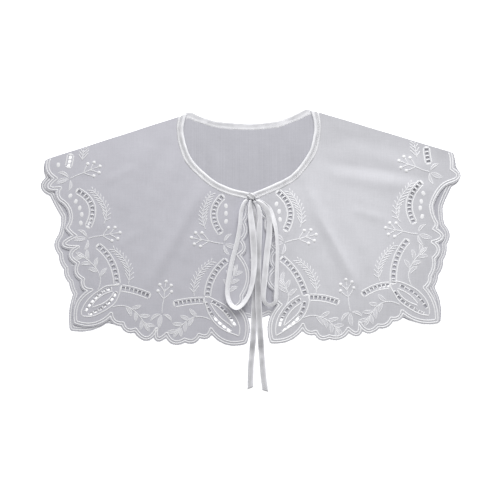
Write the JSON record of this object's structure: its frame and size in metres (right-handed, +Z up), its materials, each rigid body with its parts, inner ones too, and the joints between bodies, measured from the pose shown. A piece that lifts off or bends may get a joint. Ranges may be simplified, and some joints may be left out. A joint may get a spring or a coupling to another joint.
{
  "type": "detachable lace collar",
  "caption": "Wide detachable collar of white cotton with scalloped, embroidered cutwork edges and a ribbon bow at the neck, laid flat.",
  "frame": {"origin": "middle of the collar's plan box without its hanging ties, at the height of the surface that it lies on", "axes": "+X towards the picture's right, +Y from the hem towards the neck, +Z up from the surface"},
  "size_m": [0.4868, 0.3273, 0.0111],
  "materials": {
    "cotton_voile": "fine matte woven cotton, white, with raised white satin-stitch embroidery",
    "satin_tape": "narrow white tape with a soft satin sheen"
  },
  "bodies": {
    "root": {"back_panel": "cotton_voile", "front_left_panel": "cotton_voile", "front_right_panel": "cotton_voile", "binding_back": "satin_tape", "binding_front_left": "satin_tape", "binding_front_right": "satin_tape", "tie_knot": "satin_tape", "tie_loop_left": "satin_tape", "tie_loop_right": "satin_tape", "tie_tail_left": "satin_tape", "tie_tail_right": "satin_tape"}
  },
  "joints": []
}
